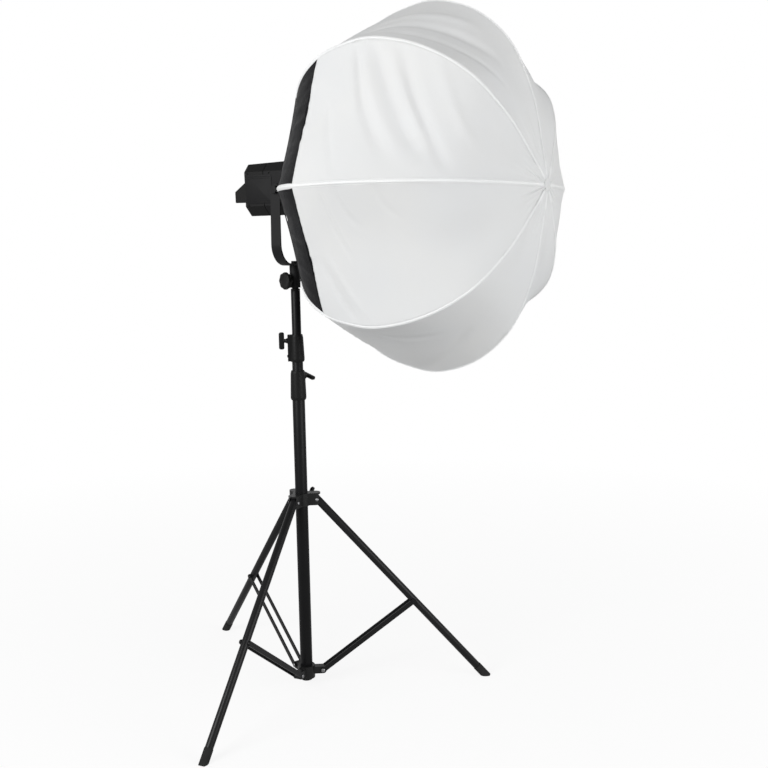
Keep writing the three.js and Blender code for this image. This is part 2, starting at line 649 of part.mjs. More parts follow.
function softbox() {
  const box = headFrame();
  box.rotation.z = -SOFTBOX_ROLL;
  const back = 38 + FIT;
  const sockets = Array.from({ length: RIB_COUNT }, (_, n) =>
    block([56, 62], [-5, 5], [47, 60]).rotateZ((n / RIB_COUNT) * 2 * Math.PI));
  const speedring = join(spin([[LAMP_MOUTH_R, back], [57, back], [57, 60], [LAMP_MOUTH_R, 60]]),
    ...sockets);
  piece(box, "speedring", speedring, ALUMINIUM);
  for (let n = 0; n < RIB_COUNT; n += 1) {
    const spoke = group(box);
    spoke.rotation.z = (n / RIB_COUNT) * 2 * Math.PI;
    piece(spoke, `rib_${n + 1}`, ribRod(), ROD);
  }
  const front = RIB_LINE[RIB_LINE.length - 1][0];
  const hub = spin([[0, front - 12], [15, front - 12], [15, front - 4], [6.5, front - 3],
    [6.5, front + 1], [4.5, front + 2], [0, front + 2]]);
  piece(box, "front_hub", hub, BLACK_PLASTIC);
  piece(box, "skirt", clothShell(0, RING_AT, SKIRT_ROWS, SKIRT_SAG), BLACK_CLOTH);
  const start = RING_AT + 0.001;
  piece(box, "canopy", clothShell(start, 1, CANOPY_ROWS, CANOPY_SAG), WHITE_CLOTH);
}

column();
clamps();
tripod();
yoke();
lampHead();
softbox();

export default whole;
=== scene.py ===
"""The looks of a lantern softbox on a lamp head and a folding light stand.

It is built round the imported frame. Everything is in metres in the frame's own axes:
+Z is up and the lantern points roughly along -Y.
"""

import json
import math

import bmesh
import bpy
import numpy as np
from mathutils import Matrix, Vector


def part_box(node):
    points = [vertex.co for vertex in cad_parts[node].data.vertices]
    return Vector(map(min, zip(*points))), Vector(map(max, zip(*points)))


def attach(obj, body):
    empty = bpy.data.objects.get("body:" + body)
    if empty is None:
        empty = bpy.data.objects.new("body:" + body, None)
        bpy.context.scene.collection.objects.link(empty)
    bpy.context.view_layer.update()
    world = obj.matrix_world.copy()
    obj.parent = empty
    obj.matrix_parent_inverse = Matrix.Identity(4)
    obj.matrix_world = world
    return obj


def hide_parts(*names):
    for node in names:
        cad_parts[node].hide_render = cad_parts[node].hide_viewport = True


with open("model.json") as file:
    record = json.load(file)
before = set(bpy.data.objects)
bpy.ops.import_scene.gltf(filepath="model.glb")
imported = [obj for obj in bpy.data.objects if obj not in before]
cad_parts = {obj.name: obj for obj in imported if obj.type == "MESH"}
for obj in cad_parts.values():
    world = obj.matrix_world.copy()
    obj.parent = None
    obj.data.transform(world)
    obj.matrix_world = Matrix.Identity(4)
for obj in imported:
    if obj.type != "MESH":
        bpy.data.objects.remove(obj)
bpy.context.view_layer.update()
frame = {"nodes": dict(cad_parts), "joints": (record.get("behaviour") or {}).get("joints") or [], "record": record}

MM = 0.001
RNG = np.random.default_rng(11)
NODES = frame["nodes"]
JOINTS = {joint["name"]: joint for joint in frame["joints"]}

# ---- Places, from the frame ----

low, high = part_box("base_tube")
COLUMN = Vector(((low.x + high.x) / 2, (low.y + high.y) / 2, 0))

TWIST = JOINTS["softbox_twist"]
TWIST_FORWARD = 0.045  # from the lamp's tilt plane to the twist joint's place
SOFTBOX_ROLL = math.radians(-2)
FORWARD = Vector(TWIST["axis"]).normalized()
SIDE = Vector((1, 0, 0))
UPWARD = FORWARD.cross(SIDE)


def axes(right, up, forward, origin):
    """A matrix whose columns are three axes and an origin."""
    return Matrix.Translation(origin) @ Matrix((right, up, forward)).transposed().to_4x4()


HEAD = axes(SIDE, UPWARD, FORWARD, Vector(TWIST["pos_m"]) - FORWARD * TWIST_FORWARD)
LANTERN = HEAD @ Matrix.Rotation(SOFTBOX_ROLL, 4, "Z")

# ---- The lantern's form ----

RIB_COUNT = 8
GORE = 2 * math.pi / RIB_COUNT
# A rib as [forward, radius], from the speed ring to the front hub. The points are thinned out
# and rounded from a fit of the lantern's outline in the photo.
RIB_LINE = np.array([
    [0.052, 0.067], [0.107, 0.203], [0.170, 0.312], [0.240, 0.3675], [0.307, 0.3915],
    [0.373, 0.400], [0.467, 0.372], [0.5475, 0.302], [0.597, 0.195], [0.620, 0.085],
    [0.631, 0.008],
])
RING_AT = 0.3  # share of the rib where the black skirt meets the white canopy
CANOPY_END = 0.996  # share of the rib where the canopy ends, under the hub's cap
SKIRT_SAG = 0.02
CANOPY_SAG = 0.045
RIB_LENGTH = 0.92  # along the rib, from the speed ring to the hub


def rib_at(share):
    """[forward, radius] on the rib at shares 0 to 1, on a centripetal spline through RIB_LINE."""
    count = len(RIB_LINE)
    before = 2 * RIB_LINE[0] - RIB_LINE[1]
    after = 2 * RIB_LINE[-1] - RIB_LINE[-2]
    points = np.vstack([before, RIB_LINE, after])
    place = np.clip(np.asarray(share, float), 0, 1) * (count - 1)
    index = np.minimum(place.astype(int), count - 2)
    w = (place - index)[..., None]
    a, b, c, d = (points[index + k] for k in range(4))
    ab, bc, cd = (np.linalg.norm(q - p, axis=-1, keepdims=True) ** 0.5
                  for p, q in ((a, b), (b, c), (c, d)))
    leave = ((b - a) / ab - (c - a) / (ab + bc) + (c - b) / bc) * bc
    arrive = ((c - b) / bc - (d - b) / (bc + cd) + (d - c) / cd) * bc
    bend = -3 * b + 3 * c - 2 * leave - arrive
    return b + w * (leave + w * (bend + w * (2 * b - 2 * c + leave + arrive)))


def cloth_point(share, turn):
    """Places on the bare cloth, in the lantern's axes, at shares of the rib and turns about it."""
    share, turn = np.broadcast_arrays(share, turn)
    line = rib_at(share)
    off = np.mod(turn, GORE) - GORE / 2
    edge = 2 * off / GORE
    skirt = share < RING_AT
    local = np.where(skirt, share / RING_AT, (share - RING_AT) / (1 - RING_AT))
    sag = np.where(skirt, SKIRT_SAG, CANOPY_SAG)
    chord = math.cos(GORE / 2) / np.cos(off)
    radius = line[..., 1] * chord * (1 - sag * np.sin(np.pi * local) * (1 - edge ** 2))
    return np.stack([radius * np.cos(turn), radius * np.sin(turn), line[..., 0]], -1)


def normals_of(grid):
    """Outward normals of a grid of points whose rows run along the rib and columns round it."""
    along = np.gradient(grid, axis=0)
    around = np.roll(grid, -1, axis=1) - np.roll(grid, 1, axis=1)
    normal = np.cross(around, along)
    return normal / np.maximum(np.linalg.norm(normal, axis=-1, keepdims=True), 1e-9)


def soft_noise(x, y, waves=7):
    """A smooth seeded wave field of x and y, about -1 to 1."""
    total = np.zeros(np.broadcast(x, y).shape)
    for _ in range(waves):
        heading, phase = RNG.uniform(0, 2 * np.pi, 2)
        pitch = RNG.uniform(0.6, 1.6)
        total += np.sin(pitch * (x * np.cos(heading) + y * np.sin(heading)) * 2 * np.pi + phase)
    return total / waves ** 0.5 / 1.4


# ---- Mesh helpers ----

def new_object(name, mesh, material, body):
    """A smooth-shaded object that rides on a CAD body and takes the given material."""
    made = bpy.data.objects.new(name, mesh)
    bpy.context.scene.collection.objects.link(made)
    mesh.materials.append(material)
    for polygon in mesh.polygons:
        polygon.use_smooth = True
    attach(made, body)
    return made


def mesh_from(name, points, faces, matrix=Matrix.Identity(4), uv=None):
    """A mesh from an array of points and lists of corner numbers, with an optional UV per point."""
    mesh = bpy.data.meshes.new(name)
    mesh.from_pydata(np.asarray(points, float).reshape(-1, 3).tolist(), [], faces)
    mesh.transform(matrix)
    if uv is not None:
        layer = mesh.uv_layers.new(name="cloth")
        corners = np.zeros(len(mesh.loops), int)
        mesh.loops.foreach_get("vertex_index", corners)
        layer.data.foreach_set("uv", np.asarray(uv, np.float32).reshape(-1, 2)[corners].ravel())
    mesh.validate()
    return mesh


def grid_faces(rows, columns, closed_rows=False, closed_columns=True, first=0):
    """Quads over a grid of points stored row by row."""
    faces = []
    for i in range(rows if closed_rows else rows - 1):
        up = (i + 1) % rows
        for j in range(columns if closed_columns else columns - 1):
            side = (j + 1) % columns
            faces.append((first + i * columns + j, first + i * columns + side,
                          first + up * columns + side, first + up * columns + j))
    return faces


def lathe(profile, matrix=Matrix.Identity(4), steps=64):
    """A closed round solid, from [radius, z] points that end on the axis or close on themselves."""
    rows = len(profile)
    turn = np.arange(steps) / steps * 2 * np.pi
    points = [[r * np.cos(a), r * np.sin(a), z] for r, z in profile for a in turn]
    hollow = min(r for r, _ in profile) > 1e-6
    faces = grid_faces(rows, steps, closed_rows=hollow)
    mesh = mesh_from("lathe", points, faces, matrix)
    tidy(mesh)
    return mesh


def tidy(mesh):
    """Merges doubled points and turns the faces outwards."""
    work = bmesh.new()
    work.from_mesh(mesh)
    bmesh.ops.remove_doubles(work, verts=work.verts, dist=1e-6)
    loose = [v for v in work.verts if not v.link_faces]
    bmesh.ops.delete(work, geom=loose, context="VERTS")
    bmesh.ops.recalc_face_normals(work, faces=work.faces)
    work.to_mesh(mesh)
    work.free()
    mesh.update()


def joined(name, meshes):
    """One mesh made of several closed meshes, which are used up."""
    work = bmesh.new()
    for part in meshes:
        work.from_mesh(part)
    mesh = bpy.data.meshes.new(name)
    work.to_mesh(mesh)
    work.free()
    for part in meshes:
        bpy.data.meshes.remove(part)
    return mesh


def rounded_ends(radius, z0, z1, edge=0.0008, bore=None):
    """A lathe profile for a tube or rod with softened ends."""
    inner = [[bore, z1], [bore, z0]] if bore else [[0, z1], [0, z0]]
    outer = [[radius - edge, z0], [radius - edge * 0.3, z0 + edge * 0.3], [radius, z0 + edge],
             [radius, z1 - edge], [radius - edge * 0.3, z1 - edge * 0.3], [radius - edge, z1]]
    return outer + inner if bore else [[0, z0]] + outer + [[0, z1]]


def slab(outline, depth, bevel, matrix=Matrix.Identity(4), segments=3):
    """A plate: an outline in XY with thickness from z 0 to depth and rounded edges."""
    work = bmesh.new()
    base = [work.verts.new((x, y, 0)) for x, y in outline]
    face = work.faces.new(base)
    raised = bmesh.ops.extrude_face_region(work, geom=[face])
    top = [g for g in raised["geom"] if isinstance(g, bmesh.types.BMVert)]
    bmesh.ops.translate(work, verts=top, vec=(0, 0, depth))
    bmesh.ops.recalc_face_normals(work, faces=work.faces)
    rim = [e for e in work.edges if abs(e.verts[0].co.z - e.verts[1].co.z) < 1e-9]
    bmesh.ops.bevel(work, geom=rim, offset=bevel, segments=segments, affect="EDGES",
                    profile=0.5, clamp_overlap=True)
    mesh = bpy.data.meshes.new("slab")
    work.to_mesh(mesh)
    work.free()
    mesh.transform(matrix)
    return mesh


def rounded_outline(width, height, corner, steps=6):
    """A rectangle about the origin with round corners, anticlockwise."""
    points = []
    for quarter, (sx, sy) in enumerate(((1, 1), (-1, 1), (-1, -1), (1, -1))):
        for k in range(steps + 1):
            a = (quarter + k / steps) * math.pi / 2
            points.append([sx * (width / 2 - corner) + corner * math.cos(a),
                           sy * (height / 2 - corner) + corner * math.sin(a)])
    return points


# ---- Materials ----

class Paint:
    """A material's node tree with short calls for the nodes used here."""

    def __init__(self, name):
        self.material = bpy.data.materials.new(name)
        self.material.use_nodes = True
        self.tree = self.material.node_tree
        self.tree.nodes.clear()
        self.output = self.add("ShaderNodeOutputMaterial")

    def add(self, kind, inputs=None, **settings):
        node = self.tree.nodes.new(kind)
        for key, value in settings.items():
            setattr(node, key, value)
        for key, value in (inputs or {}).items():
            self.set(node.inputs[key], value)
        return node

    def set(self, socket, value):
        if isinstance(value, bpy.types.NodeSocket):
            self.tree.links.new(value, socket)
        elif isinstance(value, bpy.types.Node):
            self.tree.links.new(value.outputs[0], socket)
        else:
            socket.default_value = value

    def place(self, scale=(1, 1, 1), source="Object"):
        where = self.add("ShaderNodeTexCoord")
        return self.add("ShaderNodeMapping", {"Vector": where.outputs[source], "Scale": scale})

    def noise(self, vector, scale, detail=3.0, rough=0.5):
        return self.add("ShaderNodeTexNoise", {"Vector": vector.outputs[0], "Scale": scale,
                                               "Detail": detail, "Roughness": rough})

    def ramp(self, value, low, high):
        """Maps a 0 to 1 value onto low to high, numbers or colours."""
        if isinstance(high, tuple):
            node = self.add("ShaderNodeMix", data_type="RGBA")
            self.set(node.inputs["Factor"], value)
            self.set(node.inputs[6], low)
            self.set(node.inputs[7], high)
            return node.outputs[2]
        node = self.add("ShaderNodeMapRange", {"Value": value, "To Min": low, "To Max": high})
        return node.outputs[0]

    def maths(self, kind, a, b=0.5):
        node = self.add("ShaderNodeMath", operation=kind)
        self.set(node.inputs[0], a)
        self.set(node.inputs[1], b)
        return node.outputs[0]

    def bump(self, height, strength, distance, under=None):
        inputs = {"Height": height, "Strength": strength, "Distance": distance}
        if under is not None:
            inputs["Normal"] = under.outputs[0]
        return self.add("ShaderNodeBump", inputs)

    def edge_wear(self, radius):
        """0 on flats, rising to 1 on edges that stand out."""
        soft = self.add("ShaderNodeBevel", {"Radius": radius}, samples=4)
        true = self.add("ShaderNodeNewGeometry")
        dot = self.add("ShaderNodeVectorMath", operation="DOT_PRODUCT")
        self.set(dot.inputs[0], soft.outputs[0])
        self.set(dot.inputs[1], true.outputs["Normal"])
        return self.maths("MULTIPLY", self.maths("SUBTRACT", 1.0, dot.outputs["Value"]), 3.0)

    def finish(self, shader):
        self.set(self.output.inputs["Surface"], shader)
        return self.material


def grey(value, blue=0.0):
    return (value, value, value + blue, 1)


def coated_metal(name, tone, rough, gloss, grain=900, wear=0.18, streak=(1, 1, 1)):
    """Satin black coating: fine grain, uneven sheen and slightly rubbed edges."""
    paint = Paint(name)
    place = paint.place(streak)
    fine = paint.noise(place, grain, 2)
    broad = paint.noise(paint.place(), 14, 4)
    base = paint.ramp(broad.outputs[0], grey(tone * 0.85), grey(tone * 1.2, 0.001))
    rubbed = paint.maths("MULTIPLY", paint.edge_wear(0.0006), wear)
    colour = paint.ramp(rubbed, base, grey(0.09))
    bump = paint.bump(fine.outputs[0], 0.25, 0.0002)
    shader = paint.add("ShaderNodeBsdfPrincipled", {
        "Base Color": colour, "Normal": bump,
        "Roughness": paint.ramp(broad.outputs[0], rough - 0.06, rough + 0.08),
        "Specular IOR Level": gloss})
    return paint.finish(shader)


def moulded_plastic(name, tone, rough, gloss, grain=1400, depth=0.35):
    """Black moulded plastic: a spark-eroded grain and faint mottling."""
    paint = Paint(name)
    place = paint.place()
    cells = paint.add("ShaderNodeTexVoronoi", {"Vector": place.outputs[0], "Scale": grain})
    broad = paint.noise(place, 30, 3)
    rubbed = paint.maths("MULTIPLY", paint.edge_wear(0.0005), 0.12)
    base = paint.ramp(broad.outputs[0], grey(tone * 0.85), grey(tone * 1.2))
    bump = paint.bump(cells.outputs["Distance"], depth, 0.00025)
    shader = paint.add("ShaderNodeBsdfPrincipled", {
        "Base Color": paint.ramp(rubbed, base, grey(0.08)), "Normal": bump,
        "Roughness": paint.ramp(broad.outputs[0], rough - 0.05, rough + 0.08),
        "Specular IOR Level": gloss})
    return paint.finish(shader)


def bare_metal(name, tone, rough, streak=(1, 1, 60)):
    """Bare metal with fine lines from turning or brushing."""
    paint = Paint(name)
    lines = paint.noise(paint.place(streak), 90, 4, 0.7)
    blotch = paint.noise(paint.place(), 25, 3)
    bump = paint.bump(lines.outputs[0], 0.12, 0.0002)
    shader = paint.add("ShaderNodeBsdfPrincipled", {
        "Base Color": paint.ramp(blotch.outputs[0], grey(tone * 0.85), grey(tone, 0.01)),
        "Metallic": 1.0, "Normal": bump,
        "Roughness": paint.ramp(lines.outputs[0], rough - 0.08, rough + 0.12)})
    return paint.finish(shader)


def rubber(name):
    paint = Paint(name)
    place = paint.place()
    fine = paint.noise(place, 700, 4, 0.65)
    dust = paint.noise(place, 60, 3)
    shader = paint.add("ShaderNodeBsdfPrincipled", {
        "Base Color": paint.ramp(dust.outputs[0], grey(0.010), grey(0.022)),
        "Roughness": paint.ramp(fine.outputs[0], 0.75, 0.95), "Specular IOR Level": 0.2,
        "Normal": paint.bump(fine.outputs[0], 0.4, 0.0004)})
    return paint.finish(shader)


THREAD = 0.0006  # spacing of the cloth's threads


def weave(paint, pitch):
    """The height of a plain weave whose threads run along the cloth's UV axes, in metres."""
    where = paint.add("ShaderNodeTexCoord")
    parts = paint.add("ShaderNodeSeparateXYZ", {"Vector": where.outputs["UV"]})
    waves = []
    for axis in (0, 1):
        turn = paint.maths("MULTIPLY", parts.outputs[axis], 2 * math.pi / pitch)
        waves.append(paint.maths("SINE", turn, 0))
    over = paint.maths("MULTIPLY", waves[0], waves[1])
    return paint.maths("ADD", paint.maths("MULTIPLY", over, 0.5), 0.5)


def diffusion_cloth(name, tone, through):
    """Thin white nylon: plain weave, soft sheen and light that comes through from behind."""
    paint = Paint(name)
    threads = weave(paint, THREAD)
    broad = paint.noise(paint.place(), 5, 4)
    slubs = paint.noise(paint.place((1, 1, 6)), 160, 3)
    creases = paint.noise(paint.place(), 38, 5, 0.6)
    colour = paint.ramp(broad.outputs[0], (tone * 0.97, tone * 0.985, tone, 1),
                        (tone, tone, tone * 0.985, 1))
    lower = paint.bump(creases.outputs[0], 0.12, 0.004)
    middle = paint.bump(slubs.outputs[0], 0.08, 0.0005, lower)
    bump = paint.bump(threads, 0.25, 0.0002, middle)
    front = paint.add("ShaderNodeBsdfPrincipled", {
        "Base Color": colour, "Roughness": 0.75, "Normal": bump, "Sheen Weight": 0.25,
        "Sheen Roughness": 0.4, "Specular IOR Level": 0.25})
    back = paint.add("ShaderNodeBsdfTranslucent", {"Color": colour, "Normal": bump})
    mix = paint.add("ShaderNodeMixShader", {"Fac": through})
    paint.set(mix.inputs[1], front)
    paint.set(mix.inputs[2], back)
    return paint.finish(mix)


def coated_cloth(name, tone):
    """Black coated nylon: a tight weave under a slightly shiny, crumpled coating."""
    paint = Paint(name)
    threads = weave(paint, THREAD)
    crumple = paint.noise(paint.place(), 60, 5, 0.6)
    broad = paint.noise(paint.place(), 9, 3)
    lower = paint.bump(crumple.outputs[0], 0.3, 0.002)
    shader = paint.add("ShaderNodeBsdfPrincipled", {
        "Base Color": paint.ramp(broad.outputs[0], grey(tone * 0.8), grey(tone * 1.25, 0.002)),
        "Roughness": paint.ramp(crumple.outputs[0], 0.34, 0.5),
        "Normal": paint.bump(threads, 0.3, 0.0002, lower),
        "Specular IOR Level": 0.05, "Sheen Weight": 0.01, "Sheen Roughness": 0.35})
    return paint.finish(shader)


def circuit_board(name):
    """Green board with copper tracks under the resist."""
    paint = Paint(name)
    place = paint.place()
    tracks = paint.add("ShaderNodeTexBrick", {"Vector": place.outputs[0], "Scale": 90.0,
                                              "Mortar Size": 0.06})
    fine = paint.noise(place, 200, 2)
    colour = paint.ramp(tracks.outputs["Fac"], (0.012, 0.07, 0.035, 1), (0.05, 0.16, 0.07, 1))
    shader = paint.add("ShaderNodeBsdfPrincipled", {
        "Base Color": colour, "Roughness": paint.ramp(fine.outputs[0], 0.3, 0.5),
        "Normal": paint.bump(tracks.outputs["Fac"], 0.4, 0.0003)})
    return paint.finish(shader)


TUBE = coated_metal("satin_tube", 0.006, 0.36, 0.12, grain=700, streak=(1, 1, 0.2))
LEG_TUBE = coated_metal("satin_leg_tube", 0.008, 0.34, 0.18, grain=700)
CASTING = moulded_plastic("moulded_black", 0.006, 0.42, 0.16)
CASTING_SHINE = moulded_plastic("moulded_gloss", 0.009, 0.3, 0.25, depth=0.12)
YOKE = coated_metal("textured_paint", 0.009, 0.5, 0.16, grain=1500)
LAMP = coated_metal("lamp_paint", 0.008, 0.5, 0.14, grain=1300, wear=0.12)
PANEL = coated_metal("panel_paint", 0.008, 0.5, 0.12, grain=1600, wear=0.1)
LAMP_DARK = moulded_plastic("lamp_plastic", 0.007, 0.5, 0.14)
STEEL = bare_metal("rivet_steel", 0.30, 0.34)
ALUMINIUM = bare_metal("satin_aluminium", 0.6, 0.38, (1, 60, 1))
FOOT = rubber("foot_rubber")
BOARD = circuit_board("circuit_board")
ROD = coated_metal("rod_coating", 0.03, 0.45, 0.3)
WHITE = diffusion_cloth("diffusion_nylon", 0.87, 0.28)
# White binding tape, with its tone set brighter than the cloth's as a painted highlight along the ribs.
TAPE = diffusion_cloth("white_binding_painted_highlight", 0.94, 0.2)
THREAD_WHITE = diffusion_cloth("white_thread", 0.8, 0.1)
BLACK = coated_cloth("coated_nylon", 0.007)
BLACK_TAPE = coated_cloth("black_binding", 0.016)

# ---- The lantern's cloth ----

CANOPY_ROWS = 132
SKIRT_ROWS = 44
GORE_COLUMNS = 40
CLOTH_THICK = 0.0008
HEM_STEP = 0.0009  # the white cloth laps over the black one at the ring


def smooth_step(value, start, end):
    x = np.clip((value - start) / (end - start), 0, 1)
    return x * x * (3 - 2 * x)


def gore_places(share, turn):
    """Gore number, place across it (-1 to 1) and distances in metres along and across the cloth."""
    number = np.floor(np.mod(turn, 2 * np.pi) / GORE + 1e-9).astype(int) % RIB_COUNT
    across = 2 * (np.mod(turn, GORE) - GORE / 2) / GORE
    half_width = rib_at(share)[..., 1] * math.tan(GORE / 2)
    return number, across, share * RIB_LENGTH, across * half_width, half_width


# Long soft folds, each as gore number, start and end as (share, across), and depth and half
# width in metres. Gores are numbered round the forward axis from the +X side; 3 is above and
# 4 below the -X rib.
FOLDS = [
    (3, (0.455, -1.00), (0.580, 0.80), -0.0042, 0.013),
    (3, (0.480, -1.00), (0.600, 0.70), 0.0030, 0.012),
    (3, (0.512, -1.00), (0.645, 0.72), -0.0050, 0.014),
    (3, (0.545, -1.00), (0.665, 0.60), 0.0032, 0.012),
    (3, (0.568, -1.00), (0.698, 0.90), -0.0045, 0.013),
    (3, (0.640, -1.00), (0.740, 0.30), 0.0020, 0.016),
    (3, (0.380, -0.20), (0.470, 0.95), -0.0016, 0.012),
    (4, (0.405, -1.00), (0.470, 0.10), -0.0016, 0.007),
    (4, (0.350, 0.10), (0.450, 1.00), -0.0024, 0.009),
    (4, (0.375, 0.00), (0.480, 0.85), 0.0016, 0.010),
    (4, (0.460, -1.00), (0.520, -0.35), -0.0012, 0.006),
    (4, (0.560, -1.00), (0.600, -0.45), -0.0012, 0.006),
    (2, (0.340, 0.15), (0.720, -0.25), -0.0040, 0.018),
    (2, (0.360, -0.25), (0.640, -0.62), 0.0032, 0.016),
    (2, (0.480, 0.55), (0.760, 0.20), -0.0026, 0.013),
    (5, (0.400, -0.70), (0.600, -0.10), -0.0024, 0.014),
    (5, (0.450, 0.95), (0.640, 0.10), -0.0026, 0.016),
    (1, (0.420, -0.80), (0.620, 0.30), -0.0036, 0.015),
    (0, (0.500, -0.90), (0.600, 0.60), -0.0040, 0.015),
    (0, (0.380, 0.10), (0.500, 0.90), -0.0030, 0.012),
    (7, (0.440, -0.90), (0.580, 0.70), -0.0038, 0.014),
    (6, (0.360, -0.50), (0.700, 0.20), -0.0034, 0.018),
    (6, (0.520, 0.80), (0.680, -0.10), -0.0026, 0.012),
]
FOLD_STRENGTH = 1.25
FOLD_SPREAD = 0.16  # metres from a gore's middle to its edge, as the folds are laid out
FOLD_BOW = 0.010

# How far each kind of wrinkle lifts the cloth.
BILLOW = 0.0022
PUCKER = 0.0008
GATHER = 0.0016
RING_RUFFLE = 0.0009
SKIRT_STREAK = 0.0016
SKIRT_WRINKLE = 0.0007
SKIRT_CRUMPLE = 0.0005


def fold_lift(share, turn):
    """The long folds, which fade out at both ends."""
    number, across, along, _, _ = gore_places(share, turn)
    lift = np.zeros(share.shape)
    for gore, (s0, a0), (s1, a1), depth, width in FOLDS:
        step = np.array([(s1 - s0) * RIB_LENGTH, (a1 - a0) * FOLD_SPREAD])
        length = np.linalg.norm(step)
        y = along - s0 * RIB_LENGTH
        x = (across - a0) * FOLD_SPREAD
        run = (y * step[0] + x * step[1]) / length ** 2
        bow = FOLD_BOW * np.sin(np.pi * np.clip(run, 0, 1))
        off = (y * step[1] - x * step[0]) / length + bow
        fade = smooth_step(run, -0.08, 0.22) * (1 - smooth_step(run, 0.70, 1.08))
        lift += (number == gore) * FOLD_STRENGTH * depth * np.exp(-(off / width) ** 2) * fade
    return lift * np.minimum(1.0, (1 - np.abs(across)) / 0.06)


def canopy_lift(share, turn):
    """How far the white cloth stands out from its plain form."""
    _, across, along, _, half_width = gore_places(share, turn)
    from_rib = half_width * (1 - np.abs(across))
    lift = fold_lift(share, turn)
    billow = soft_noise(along / 0.30, turn * 1.4)
    lift += BILLOW * billow * (1 - across ** 2)
    pucker = soft_noise(along / 0.022, turn * 3)
    lift += PUCKER * pucker * np.exp(-from_rib / 0.014) * smooth_step(from_rib, 0, 0.005)
    gathers = soft_noise(turn / 0.10, along / 0.5)
    near_hub = smooth_step(share, 0.80, 0.93) * (1 - smooth_step(share, 0.972, 0.995))
    lift += GATHER * gathers * near_hub * (1 - across ** 2)
    ring = np.exp(-(share - RING_AT) / 0.03)
    ruffle = soft_noise(turn / 0.07, along / 0.4)
    lift += RING_RUFFLE * ruffle * ring * (1 - across ** 2)
    return lift + HEM_STEP * np.exp(-(share - RING_AT) / 0.02)


def skirt_lift(share, turn):
    """The black cloth's wrinkles, which run from the ring and fade out before the lamp."""
    _, across, along, _, _ = gore_places(share, turn)
    streaks = soft_noise(across * 2.2 + turn * 0.7, along / 0.35)
    fine = soft_noise(across * 6.0 + turn, along / 0.16)
    crumple = soft_noise(across * 3.0 + turn, along / 0.05)
    middle = (1 - across ** 2) * smooth_step(share, 0.075, 0.14)
    tuck = HEM_STEP * np.exp(-(RING_AT - share) / 0.012)
    wrinkles = SKIRT_STREAK * streaks + SKIRT_WRINKLE * fine + SKIRT_CRUMPLE * crumple
    return wrinkles * middle - tuck


def cloth_sheet(name, start, end, rows, lift, material, node):
    """A continuous sheet of cloth over all the ribs between two shares of their length."""
    columns = RIB_COUNT * GORE_COLUMNS
    share, turn = np.meshgrid(np.linspace(start, end, rows + 1),
                              np.arange(columns) / columns * 2 * np.pi, indexing="ij")
    grid = cloth_point(share, turn)
    grid = grid + lift(share, turn)[..., None] * normals_of(grid)
    _, _, along, sideways, _ = gore_places(share, turn)
    uv = np.stack([sideways, along], -1)
    mesh = mesh_from(name, grid, grid_faces(rows + 1, columns), LANTERN, uv)
    made = new_object(name, mesh, material, "softbox")
    thick = made.modifiers.new("thickness", "SOLIDIFY")
    thick.thickness = CLOTH_THICK
    thick.offset = -1.0
    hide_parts(node)
    return made


cloth_sheet("canopy_cloth", RING_AT, CANOPY_END, CANOPY_ROWS, canopy_lift,
            WHITE, "canopy")
cloth_sheet("skirt_cloth", 0.0, RING_AT, SKIRT_ROWS, skirt_lift,
            BLACK, "skirt")

TAPE_HALF = 0.0035  # half the width of a rib's tape on the canopy
TAPE_FROM, TAPE_TO = 0.03, 0.985  # shares of the rib that its tape covers
TAPE_ROWS = 190
TAPE_COLUMNS = 13
TAPE_DEPTH = 0.0004  # how far a tape reaches under the cloth


def rib_frame(share, turn):
    """A rib's places, and its outward and lengthwise directions, at shares of its length."""
    line = rib_at(share)
    step = np.gradient(line, axis=0)
    step /= np.linalg.norm(step, axis=-1, keepdims=True)
    c, s = math.cos(turn), math.sin(turn)
    outward = np.stack([step[:, 0] * c, step[:, 0] * s, -step[:, 1]], -1)
    along = np.stack([step[:, 1] * c, step[:, 1] * s, step[:, 0]], -1)
    return cloth_point(share, np.full(len(share), turn)), outward, along


def tape_height(across, share):
    """Two rolls with a valley on the canopy, and one fuller pocket over the skirt."""
    double = 0.0003 + 0.0007 * np.sin(np.pi * np.abs(across) / 1.18) ** 2
    single = 0.0006 + 0.0015 * np.cos(0.5 * np.pi * across) ** 0.7
    blend = smooth_step(share, RING_AT - 0.02, RING_AT + 0.05)
    return single * (1 - blend) + double * blend


def rib_tape(turn):
    """One folded tape that wraps a rib's pocket from the lamp end to the hub."""
    share = np.linspace(TAPE_FROM, TAPE_TO, TAPE_ROWS)
    across = np.linspace(-1, 1, TAPE_COLUMNS)
    radius = rib_at(share)[:, 1]
    _, outward, _ = rib_frame(share, turn)
    fuller = 1 + 0.6 * (1 - smooth_step(share, RING_AT - 0.03, RING_AT + 0.03))
    half = np.minimum(TAPE_HALF * fuller, 0.7 * radius * math.tan(GORE / 2))
    share_grid, across_grid = np.meshgrid(share, across, indexing="ij")
    turns = turn + across_grid * half[:, None] / radius[:, None]
    base = cloth_point(share_grid, turns)
    shrink = (half / TAPE_HALF)[:, None]
    height = tape_height(across_grid, share_grid) * np.minimum(1.0, shrink)
    top = base + outward[:, None] * height[..., None]
    under = base - outward[:, None] * TAPE_DEPTH
    loop = np.concatenate([top, under[:, ::-1]], axis=1)
    rows, columns = loop.shape[:2]
    faces = grid_faces(rows, columns)
    faces.append(tuple(range(columns - 1, -1, -1)))
    faces.append(tuple((rows - 1) * columns + k for k in range(columns)))
    along = np.broadcast_to(share[:, None] * RIB_LENGTH, (rows, columns))
    width = np.concatenate([across, across[::-1]])[None] * TAPE_HALF + np.zeros((rows, 1))
    return mesh_from("tape", loop, faces, LANTERN, np.stack([width, along], -1))


RIB_TURNS = [k * GORE for k in range(RIB_COUNT)]
tapes = joined("rib_tapes", [rib_tape(turn) for turn in RIB_TURNS])
new_object("rib_tapes", tapes, TAPE, "softbox")

